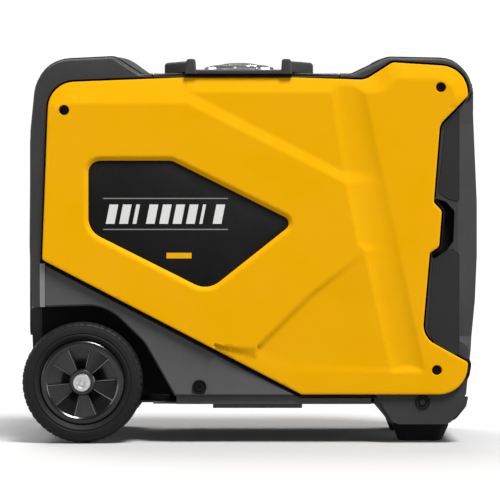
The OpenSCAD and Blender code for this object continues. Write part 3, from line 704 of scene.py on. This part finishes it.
def shell_piece(name, node, low_x, high_x):
    """The part of the skin between two cuts, given its thickness."""
    bm = bmesh.new()
    bm.from_mesh(sheet)
    for x, sign in ((low_x, -1), (high_x, 1)):
        if x is None:
            continue
        geo = bm.verts[:] + bm.edges[:] + bm.faces[:]
        bmesh.ops.bisect_plane(bm, geom=geo, plane_co=(x * MM, 0, 0), plane_no=(sign, 0, 0), clear_outer=True,
                               dist=1e-6)
    me = bpy.data.meshes.new(name)
    bm.to_mesh(me)
    bm.free()
    ob = put(name, me)
    me.materials.append(M["shell"])
    soften(me)
    edge = ob.modifiers.new("edge", "BEVEL")
    edge.width = 0.7 * MM
    edge.segments = 2
    edge.limit_method = "ANGLE"
    edge.angle_limit = math.radians(28)
    thick = ob.modifiers.new("thick", "SOLIDIFY")
    thick.thickness = SKIN * MM
    thick.offset = -1
    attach(ob, "casing")
    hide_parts(node)
    return ob


sheet = mesh_of("skin", skin_mesh(), 1e-6)
bm = bmesh.new()
bm.from_mesh(sheet)
top_face = max(bm.faces, key=lambda f: f.calc_center_median().z)
if top_face.normal.z < 0:
    bmesh.ops.reverse_faces(bm, faces=bm.faces)
bm.to_mesh(sheet)
bm.free()

left = shell_piece("exhaust_shell", "exhaust_end_shell", None, SEAMS[0] - 0.8)
carve(left, [cutter("cut_grille", block(yz, box(-118, 118, 140, 410, 14), -310, -270))])
more = Build()
more.slab([[-277, 180, 0.8], [-291, 180, 0.8], [-288.5, 119, 3], [-277, 119, 0.8]], -124, 124, 0.8, 3)
join_parts(left, more)
carve(left, [cutter("cut_grille_low", block(yz, box(-118, 118, 140, 300, 14), -310, -270))])

middle = shell_piece("deck_cover", "top_cover", SEAMS[0] + 0.8, SEAMS[1] - 0.8)
hole = Build()
hole.lathe([(38.5, -12), (38.5, 12)], (CAP_X, 0, DECK), "z", 96)
carve(middle, [cutter("cut_filler", hole)]
      + [cutter("cut_well%d" % i, block(xy, box(x - 14, x + 14, -50, 50, 8), DECK - 9, DECK + 6))
         for i, x in enumerate(WELLS)])
more = Build()
for x in WELLS:
    cup(more, box(x - 14, x + 14, -50, 50, 8), xy, DECK - 0.4, DECK - 11, 2.2)
join_parts(middle, more)

right = shell_piece("control_shell", "control_end_shell", SEAMS[1] + 0.8, None)
window = box(-122, 122, 134, 412, 12)
carve(right, [cutter("cut_window", block(yz, window, 280, 312)),
              cutter("cut_grip", block(yz, box(-146.5, 146.5, 431, 473, 14), 280, 312))])
more = Build()
for s in (-1, 1):
    cup(more, NOTCH, xz, s * (FLANK_Y - 0.4), s * 141.5, 2.0)


def wall_x(z):
    """The skin's place at the control end, at mid-width."""
    ring = [p for p in rounded(CROWN) if p[0] > 250]
    ring = sorted(ring, key=lambda p: p[1])
    return float(np.interp(z, [p[1] for p in ring], [p[0] for p in ring]))


frame_in, frame_out = dense([rounded(window, 6), rounded(inset(window, -2.5), 6)], 12)
more.hoop([[(283.2, y, z) for y, z in frame_in], [(wall_x(z) - 0.8, y, z) for y, z in frame_in],
           [(wall_x(z) - 1.6, y, z) for y, z in frame_out], [(283.2, y, z) for y, z in frame_out]])
join_parts(right, more)

# the strip that fills the seam between a flank and the top; near black, as painted shade in that groove
b = Build()
line = [p for p in rounded(FLANK)[:OVER] if p[1] > 455]
at = [FLANK_Y - side_of(x, z)[1] for x, z in line]
for s in (-1, 1):
    low, high = moved(line, [1.7] * len(line)), moved(line, [-1.6 * rise(x, z) for x, z in line])
    for j in (-1, 1):
        part = [i for i, p in enumerate(line) if p[0] * j > 0]
        b.stack([[(low[i][0], s * (at[i] - 2.7), low[i][1]), (high[i][0], s * (at[i] - 2.7), high[i][1]),
                  (high[i][0], s * (at[i] - 4.6), high[i][1]), (low[i][0], s * (at[i] - 4.6), low[i][1])]
                 for i in part])
piece("crest_strips", b, "dark")

# soft pads above and below the finger notches
b = Build()
PADS = [[[276.4, 441, 1], [276.4, 318, 3], [262, 322, 8], [248.3, 331, 4], [257, 417.5, 10]],
        [[276.4, 250, 6], [276.4, 116, 2], [268, 117.2, 2], [242.5, 131.5, 8], [234.6, 152.5, 16], [241, 241, 4],
         [256, 251, 8], [266, 258, 4]]]
for s in (-1, 1):
    for pad in PADS:
        b.levels(pad, [(0, s * 158), (0, s * 160.5), (0.3, s * 160.9), (0.9, s * 161.1), (1.3, s * 160.7)])
piece("grip_pads", b, "pad")

# the bay behind the handle's slot, open for the two tubes; near black, as painted shade inside the slot
b = Build()
bay, bay_out = [rounded(inset(box(-147.5, 147.5, 430, 474, 12), -d), 6) for d in (0, 1.5)]
b.hoop([[(x, y, z) for y, z in r] for x, r in ((294.5, bay), (264.5, bay), (264.5, bay_out), (294.5, bay_out))])
b.plate([bay_out, circle(-130, 452, 14), circle(130, 452, 14)], yz, (266.5, 265.0))
piece("handle_bay", b, "dark")

# linings of the finger notches, near black as painted shade inside them
b = Build()
for s in (-1, 1):
    cup(b, inset(NOTCH, 0.9), xz, s * (FLANK_Y - 1.4), s * 142.8, 0.6)
piece("notch_linings", b, "dark")

# strips under the two seams across the top, near black as painted shade in the seams
b = Build()
for x in SEAMS:
    b.stack([[(x + u, v, z) for u, v in rounded([[-6, -152, 1], [-6, 152, 1], [6, 152, 1], [6, -152, 1]], 3)]
             for z in (481.4, 483.3)])
    b.stack([[(x + u, v, z) for u, v in ((-0.7, -157), (-0.7, 157), (0.7, 157), (0.7, -157))]
             for z in (483.1, 486.1)])
piece("seam_backings", b, "dark")

# the ledge that a side panel sits on, which also closes the gap round it; near black as painted shade in that gap
b = Build()
for s in (-1, 1):
    b.hoop([[(x, s * y, z) for x, z in rounded(inset(PANEL, d), 6)] for d, y in
            ((-5.0, 159.2), (-GAP, 159.2), (-GAP, 148.6), (7.0, 148.6), (7.0, 146.6), (-5.0, 146.6))])
piece("panel_ledges", b, "dark")

# ---------------------------------------------------------------- lower shrouds
SHROUD = [[-276.5, 239, 1.2], [62, 62.3, 1.2], [-99.5, 62.3, 1.2], [-140, 133, 60], [-190, 181.5, 60],
          [-276.5, 179, 1.2]]
WHEEL = (-221, 80)


def shroud(sign, name, node):
    b = Build()
    rings = dense([rounded(inset(SHROUD, d)) for d in (2.2, 0.5, 0.0)], 14)
    # its left edge has a broader bevel than the rest
    rings[0] = [(x + 4.0 * min(max((-273.5 - x) / 2, 0), 1), z) for x, z in rings[0]]
    extra = [(-120 + 6 * i, 100.0) for i in range(20)] + [(-120 + 6 * i, 80.0) for i in range(24)]
    ok = inside(rings[0], np.array([p[0] for p in extra]), np.array([p[1] for p in extra]))
    P, T, ids = fill([rings[0]], [p for p, k in zip(extra, ok) if k])

    def out(z):
        return FLANK_Y + 0.4 + 0.11 * max(0, 100 - z)

    b.ring([(x, sign * out(z), z) for x, z in P])
    b.f += [tuple(t) for t in T]
    edge = ids[0]
    mid = b.ring([(x, sign * (out(z) - 2.0), z) for x, z in rings[1]])
    end = b.ring([(x, sign * (out(z) - 3.0), z) for x, z in rings[2]])
    back = b.ring([(x, sign * (FLANK_Y - 3), z) for x, z in rings[2]])
    b.bridge(edge, mid)
    b.bridge(mid, end)
    b.bridge(end, back)
    P, T, ids = fill([rings[2]])
    b.web(P, T, dict(zip(ids[0], back)), 0)
    piece(name, b, "shroud", smooth=22, replaces=[node])
    # the arch's roof, from the flank to the inner wall; roof and wall are near black as painted shade inside the
    # arch
    b = Build()
    arch = rounded([[-99.5, 62.3, 1], [-140, 133, 60], [-190, 181.5, 60], [-277, 179, 1]], 8)[9:27]
    arch = [(-99.5, 62.3)] + arch + [(-277, 179)]
    over = []
    for i, (x, z) in enumerate(arch):
        p, q = arch[max(i - 1, 0)], arch[min(i + 1, len(arch) - 1)]
        e = np.array([q[0] - p[0], q[1] - p[1]])
        e = e / np.linalg.norm(e)
        over.append((x + 2.5 * e[1], z - 2.5 * e[0]))
    strip = arch + over[::-1]
    b.stack([[(x, sign * 157.6, z) for x, z in strip], [(x, sign * 124, z) for x, z in strip]])
    # the arch's inner wall, with the axle's hole
    wall = (arch + [(-277, 62.3)])[::-1]
    b.plate([wall, circle(*WHEEL, 9)], xz, (sign * 127, sign * 124.2))
    # the bevel down the corner, pale as a painted highlight
    c = Build()
    c.stack([[(x, sign * y, z) for x, y in ((-277.6, 158), (-277.4, 160.2), (-270.8, 161.7), (-270.4, 158))]
             for z in (179.4, 180.2, 235.4, 236.6)])
    piece(name + "_corner", c, "corner")
    piece(name + "_arch", b, "dark", smooth=32)


shroud(SERVICE, "service_shroud", "front_shroud")
shroud(FAR, "far_shroud", "rear_shroud")

# ---------------------------------------------------------------- wheels
SHOULDER_CUT, CROWN_CUT, GROOVE = 1.1, 1.2, 0.9    # depths of the tread's notches and groove


def tyre(sign, name, node, body):
    """A ring of [radius, across] rows; each row's kind is 0 on the side wall, 1 on the shoulder, 2 on the crown."""
    y0 = sign * 151
    half = [(58.6, 16.8), (59.6, 18.6), (61.0, 19.8), (62.6, 20.0), (63.4, 19.2), (64.4, 19.1), (65.2, 19.9),
            (70, 19.7), (73.0, 19.0), (74.4, 18.4), (75.0, 18.5)]
    shoulder = [(77.6, 17.0), (78.9, 14.8), (79.4, 12.0)]
    crown = [(79.8, 8.0), (80.0, 4.2), (80.0, 1.2)]
    rows = [(r, a, 0) for r, a in half] + [(r, a, 1) for r, a in shoulder] + [(r, a, 2) for r, a in crown]
    rows += [(r, -a, k) for r, a, k in rows[::-1]]
    rows = [(56.5, 15, 0)] + rows + [(56.5, -15, 0)]
    per, blocks = 6, 52
    n = per * blocks
    rings = []
    for r, a, kind in rows:
        pts = []
        for i in range(n):
            step = (i + (3 if (a < 0) != (kind == 2) else 0)) % per
            wide = (i // per * 7) % 3
            q = r
            if kind == 1 and step in ((0,) if wide else (0, 1)):
                q -= SHOULDER_CUT
            if kind == 2 and step == 3:
                q -= CROWN_CUT
            if kind and abs(abs(a) - 10) < 1.2:
                q -= GROOVE
            if kind:
                # slightly uneven, and never beyond the solid's radius
                q += 0.28 * math.sin(2.3 * i) + 0.22 * math.sin(0.61 * i + a) - 0.5
            t = 2 * math.pi * i / n
            pts.append((WHEEL[0] + q * math.cos(t), y0 + a, WHEEL[1] + q * math.sin(t)))
        rings.append(pts)
    b = Build()
    b.hoop(rings)
    piece(name, b, "tyre", body, 38, [node])


def rim(sign, name, node, body):
    b, ribs = Build(), Build()
    c = (WHEEL[0], 0, WHEEL[1])
    # bead, lip and barrel in one turned band, closed
    band = [(46.0, 166.2), (47.8, 167.6), (49.6, 168.3), (51.0, 168.2), (54.0, 167.0), (58.0, 163.8), (58.6, 161.5),
            (58.0, 160.0), (56.4, 159.0), (56.4, 143.0), (58.6, 141.0), (58.6, 138.5), (56, 136.5), (50, 136.5),
            (47.6, 140), (47.4, 150), (46.6, 156), (46.0, 160)]
    b.lathe([(r, sign * y) for r, y in band], c, n=120, closed=True)
    # hub
    hub = [(8.1, 167.6), (11.4, 168.6), (15.6, 168.4), (17.0, 167.0), (17.6, 160), (18.4, 140), (17, 133.5),
           (8.1, 133.5)]
    b.lathe([(r, sign * y) for r, y in hub], c, closed=True)
    # five webs, each a sector leaning like a blade with a rib along both edges, and a pocket between two webs; the
    # ribs are a paler piece, a painted highlight
    def at(r, deg, y):
        a = math.radians(90 - deg)
        return (c[0] + r * math.cos(a), sign * y, c[2] + r * math.sin(a))

    def sector(d0, d1, r0, r1, y_of, thick, cuts=6, b=b):
        rings = []
        across = (r0, (r0 + r1) / 2, r1)
        for k in range(cuts + 1):
            d = d0 + (d1 - d0) * k / cuts
            rings.append([at(r, d, y_of(r, d)) for r in across]
                         + [at(r, d, y_of(r, d) - thick) for r in across[::-1]])
        b.stack(rings)

    for k in range(5):
        mid = 31 + 72 * k
        lean = lambda r, d, m=mid: 163.2 + 0.13 * (d - m)
        sector(mid - 17.5, mid + 17.5, 16.5, 46.6, lean, 3.0)
        for e in (-18.2, 17.2):
            sector(mid + e, mid + e + 1.0, 17.8, 46.4, lambda r, d, m=mid: 164.5 + 0.13 * (d - m), 1.6, 1, ribs)
        # the pocket's floor falls towards the hub
        sector(mid + 18.2, mid + 53.8, 16.5, 47.2, lambda r, d: 146 + 0.36 * (r - 17), 3.0)
        for e in (19.4, 51.6):
            sector(mid + e, mid + e + 0.9, 22, 46.6, lambda r, d: 160.5, 6.5, 1)
    # the ribs in a paler finish: painted highlight along the webs' edges
    piece(name + "_ribs", ribs, "rib", body, 34)
    piece(name, b, "rim", body, 34, [node])


for sign, side in ((SERVICE, "front"), (FAR, "rear")):
    tyre(sign, side + "_tyre_rubber", side + "_tyre", side + "_wheel")
    rim(sign, side + "_rim_moulding", side + "_wheel_rim", side + "_wheel")


b = Build()
for s in (-1, 1):
    b.lathe([(8.0, s * 166), (11.2, s * 168.9), (11.8, s * 169.4), (11.8, s * 173.6), (11.2, s * 174.6),
             (9.6, s * 175), (7.0, s * 174.7), (6.4, s * 173.2), (4.2, s * 172.9), (3.4, s * 173.9),
             (1.6, s * 174.1)],
            (WHEEL[0], 0, WHEEL[1]), n=48)
piece("axle_end_caps", b, "zinc", smooth=34, replaces=["axle_caps"])

# ---------------------------------------------------------------- badge plates
b = Build()
for s in (-1, 1):
    b.slab(inset(BADGE, 0.5), s * 161.2, s * 164.6, 0.5, 8)
piece("badge_faces", b, "badge", smooth=34, replaces=["badge_plates"])


def bar(b, s, x0, x1, z0, z1, lean=0.0):
    pts = [(x0, z0), (x0 + lean, z1), (x1 + lean, z1), (x1, z0)]
    b.stack([[(x, s * y, z) for x, z in pts] for y in (164.5, 164.95)])


lines, bars, tab = Build(), Build(), Build()
for s in (-1, 1):
    for z in (322.4, 281.6):
        bar(lines, s, -193.5, -29.0, z - 0.75, z + 0.75)
    for i, wide in enumerate((11.5, 11.5, 5.0, 11.5, 11.5, 11.5, 11.5, 4.0, 11.5)):
        x = -190 + i * 17.6
        bar(bars, s, x, x + wide, 289, 314.5, -5.0 * s)
    bar(tab, s, -110, -77, 243.4, 250.8)
piece("badge_rules", lines, "line")
piece("badge_bars", bars, "bars")
piece("badge_tab", tab, "yellow")

# ---------------------------------------------------------------- carry frame
RAIL = [[-56.5, 165, 3], [-56.5, 151, 3], [-61, 151, 6], [-86, 89, 12], [-86, -89, 12], [-61, -151, 6],
        [-56.5, -151, 3], [-56.5, -165, 3], [-69, -165, 5], [-100, -92, 16], [-100, 92, 16], [-69, 165, 5]]
RAIL_FOOT, RAIL_TOP, RAIL_EDGE = 489.6, 503.8, 4.6
POST = ((8.2, 486.7, 0), (6.9, 490.5, 0), (6.0, 503.4, 0), (5.2, 505.4, 0.8), (3.4, 506.3, 2.4))
for side, word in ((-1, "left"), (1, "right")):
    b = Build()
    line = [[CAP_X + x, y, r] for x, y, r in RAIL]
    if side > 0:
        line = [[2 * CAP_X - x, y, r] for x, y, r in line][::-1]
    rings = [[(x, y, RAIL_FOOT) for x, y in rounded(line, 5)]]
    for k in range(5):
        t = math.pi / 2 * k / 4
        z = RAIL_TOP - RAIL_EDGE + RAIL_EDGE * math.sin(t)
        rings.append([(x, y, z) for x, y in rounded(inset(line, RAIL_EDGE * (1 - math.cos(t))), 5)])
    b.stack(rings)
    # its middle stands a little higher than its ends
    b.v = [(x, y, z + 3.0 * min(1, (165 - abs(y)) / 73) * (z > 495)) for x, y, z in b.v]
    rail = piece("carry_rail_" + word, b, "shell")
    x = CAP_X + side * 93
    carve(rail, [cutter("cut_rail", block(xy, box(x - 16, x + 16, -48, 48, 8), DECK - 6, 495.5))])
    if side < 0:
        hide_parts("carry_frame")
    b = Build()
    x = CAP_X + side * 62.8
    for s in (-1, 1):
        b.stack([[(u, s * v, z) for u, v in rounded(box(x - half, x + half, 152 + back, 168.2 - back * 0.5, 2.6), 5)]
                 for half, z, back in POST])
    piece("carry_posts_" + word, b, "shell")
b = Build()
section = rounded([[158, 492.4, 1.8], [166.4, 492.4, 2.4], [166.4, 486.7, 0.6], [158, 486.7, 0.6]], 4)
for s in (-1, 1):
    b.stack([[(x, s * y, z) for y, z in section] for x in (CAP_X - 60, CAP_X + 60)])
piece("carry_bars", b, "shell")

# ---------------------------------------------------------------- legs
LEG = [[166, 66, 1], [188, 30, 5], [196, 26.2, 3], [262, 26.2, 14], [279.5, 46, 34], [285.2, 80, 6], [280, 84, 1],
       [262, 66, 1]]
b = Build()
for s in (-1, 1):
    b.levels(LEG, [(0, s * 130), (0, s * 158.6), (0.5, s * 159.6), (1.6, s * 160.2)])
piece("leg_cheeks", b, "shell")

# ---------------------------------------------------------------- screws
b = Build()
SCREWS = [(x, z, 163.2, 5.6) for x, z in PANEL_SCREWS] + [(-66.6, 74, 166.2, 6.6), (227.7, 54, 161.4, 6.8)]
for s in (-1, 1):
    for x, z, y, r in SCREWS:
        b.lathe([(r, s * (y - 4.5)), (r, s * (y - 1.4)), (r - 0.9, s * (y - 0.4)), (r * 0.62, s * y),
                 (r * 0.5, s * (y - 0.2)), (r * 0.44, s * (y - 2.4))], (x, 0, z), n=36)
piece("cover_screw_heads", b, "screw", replaces=["cover_screws"])
b = Build()
for s in (-1, 1):
    for x, z, y, r in SCREWS[len(PANEL_SCREWS):]:
        b.lathe([(r + q, s * (y + d)) for q, d in ((0.8, -3), (0.8, 0.2), (2.0, 0.6), (2.8, 0.2), (2.8, -3))],
                (x, 0, z), n=40, closed=True)
piece("screw_rings", b, "dark")

# ---------------------------------------------------------------- fuel cap
rim_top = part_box("fuel_cap_shell")[1].z / MM - 14.5


def lobes(r, a):
    if r < 34:
        return r
    share = min(1.0, (r - 34) / 12)
    return r - 3.4 * share * (0.5 - 0.5 * math.cos(12 * a)) ** 0.6


b = Build()
b.lathe([(44.5, rim_top - 9.5), (47.2, rim_top - 9), (48, rim_top - 7.4), (47.9, rim_top - 3),
         (46.8, rim_top - 0.8), (44, rim_top), (39, rim_top + 1.0), (35, rim_top + 0.6), (31, rim_top + 1.2),
         (24, rim_top + 3.4), (16, rim_top + 4.6), (4, rim_top + 5.2)], (CAP_X, 0, 0), "z", 144, lobes)
piece("fuel_cap_cover", b, "chrome", "cap_shell", 34, ["fuel_cap_shell"])
b = Build()
b.lathe([(4, 478.4), (27.6, 478.4), (28, 479), (28, 493.4), (36.5, 493.4), (37, 494), (37, rim_top - 2),
         (4, rim_top - 1)], (CAP_X, 0, 0), "z", 96)
piece("fuel_cap_seal", b, "socket", body="cap_insert", smooth=34, replaces=["fuel_cap_insert"])

# ---------------------------------------------------------------- finishes of the nodes shown as they are
# (look, slot): the width in mm that each node's edges are rounded by
LOOKS = {
    ("shell", "shell_black"): dict(exhaust_grille=0.5, leg_frame=1.2, recoil_cup=1),
    ("shroud", "shell_black"): dict(base_pan=0.5),
    ("foot", "foot_rubber"): dict(rubber_feet=1.2, engine_mounts=0.6),
    ("zinc", "zinc_steel"): dict(axle=0.4, tank_neck=0.4, crankshaft=0.3),
    ("tube", "tube_alloy"): dict(handle_sleeves=0.2, handle_mid_tubes=0.2, handle_inner_tubes=0.2),
    ("socket", "shell_black"): dict(handle_grip=2, recoil_grip=1.5, air_box=1.5, battery=1.2),
    ("red", "button_red"): dict(handle_button=0.8),
    ("tank", "tank_plastic"): dict(fuel_tank=4),
    ("rope", "rope_nylon"): dict(recoil_rope=0),
    ("fan", "fan_plastic"): dict(recoil_pulley=0.4, cooling_fan=0.3),
    ("alloy", "engine_alloy"): dict(recoil_housing=0.8, crankcase=1.2, engine_cylinder=0.4, carburettor=0.5,
                                    inverter_module=0.8),
    ("steel", "exhaust_steel"): dict(rotor=0.6, muffler=2, exhaust_tip=0.3),
    ("copper", "copper_winding"): dict(stator=0.4),
    ("ceramic", "white_ceramic"): dict(spark_plug=0.3),
    ("front", "panel_plastic"): dict(control_panel=0.8),
    ("socket", "socket_plastic"): dict(ac_sockets=0.6, dc_socket=0.4),
    ("lid", "lid_plastic"): dict(socket_lid_a=1, socket_lid_b=1, dc_cover=0.8),
    ("window", "display_window"): dict(display=0.8),
    ("lid", "panel_plastic"): dict(start_dial=0.8),
    ("green", "button_green"): dict(eco_rocker=0.8, start_button=0.8),
    ("white", "button_white"): dict(ac_breaker=0.6),
    ("brass", "terminal_brass"): dict(earth_terminal=0.3),
}
for (look, slot_name), widths in LOOKS.items():
    for node, width in widths.items():
        ob = NODES[node]
        ob.data.materials.clear()
        ob.data.materials.append(M[look])
        weld = ob.modifiers.new("weld", "WELD")
        weld.merge_threshold = 0.00002
        flat = ob.modifiers.new("flat", "DECIMATE")
        flat.decimate_type = "DISSOLVE"
        flat.angle_limit = math.radians(0.6)
        if width:
            bevel = ob.modifiers.new("edges", "BEVEL")
            bevel.width = width * MM
            bevel.segments = 2
            bevel.limit_method = "ANGLE"
            bevel.angle_limit = math.radians(40)
            bevel.use_clamp_overlap = True
            bevel.harden_normals = False
        soften(ob.data)
        normals = ob.modifiers.new("soft", "WEIGHTED_NORMAL")
        normals.keep_sharp = True

# ---------------------------------------------------------------- floor, light, camera
bpy.ops.mesh.primitive_plane_add(size=40, location=(0, 0, -0.0005))
floor = bpy.context.object
floor.name = "studio_floor"
paper = bpy.data.materials.new("floor_paper")
paper.use_nodes = True
pb = paper.node_tree.nodes["Principled BSDF"]
pb.inputs["Base Color"].default_value = (0.27, 0.27, 0.27, 1)
pb.inputs["Roughness"].default_value = 0.9
pb.inputs["Specular IOR Level"].default_value = 0.1
floor.data.materials.append(paper)

world = bpy.data.worlds.new("studio")
bpy.context.scene.world = world
world.use_nodes = True
sky = world.node_tree
back = sky.nodes["Background"]
back.inputs["Strength"].default_value = 1.0
# white round the horizon, dimmer overhead, from the ray's direction
where = add(sky, "ShaderNodeTexCoord")
split = add(sky, "ShaderNodeSeparateXYZ")
tone = ramp(sky, (0.0, (0.5, 0.5, 0.5)), (1.0, (0.22, 0.22, 0.225)),
            *[(at, (v, v, v)) for at, v in ((0.42, 0.4), (0.455, 1.05), (0.555, 1.05), (0.60, 0.28))])
lift = add(sky, "ShaderNodeMapRange", From_Min=-1.0, From_Max=1.0)
sky.links.new(where.outputs["Generated"], split.inputs["Vector"])
sky.links.new(split.outputs["Z"], lift.inputs["Value"])
sky.links.new(lift.outputs["Result"], tone.inputs["Fac"])
sky.links.new(tone.outputs["Color"], back.inputs["Color"])


def sun(name, towards, strength, angle):
    data = bpy.data.lights.new(name, "SUN")
    data.energy = strength
    data.angle = math.radians(angle)
    put(name, data).rotation_euler = Vector(towards).to_track_quat("Z", "Y").to_euler()


sun("key", (0.24, -0.42, 0.87), 8.5, 22)
sun("fill", (-0.93, -0.25, 0.25), 1.2, 40)
sun("edge", (0.98, -0.12, 0.15), 2.6, 40)
sun("rear", (-0.15, 0.55, 0.83), 4.0, 40)

cam = bpy.data.cameras.new("camera")
cam.lens = 182.7
cam.sensor_width = 36
camera = put("camera", cam)
camera.location = (0, -3.508, 0.2545)
camera.rotation_euler = (math.radians(90), 0, 0)
bpy.context.scene.camera = camera
bpy.context.scene.view_settings.view_transform = "Standard"
bpy.context.scene.view_settings.look = "None"
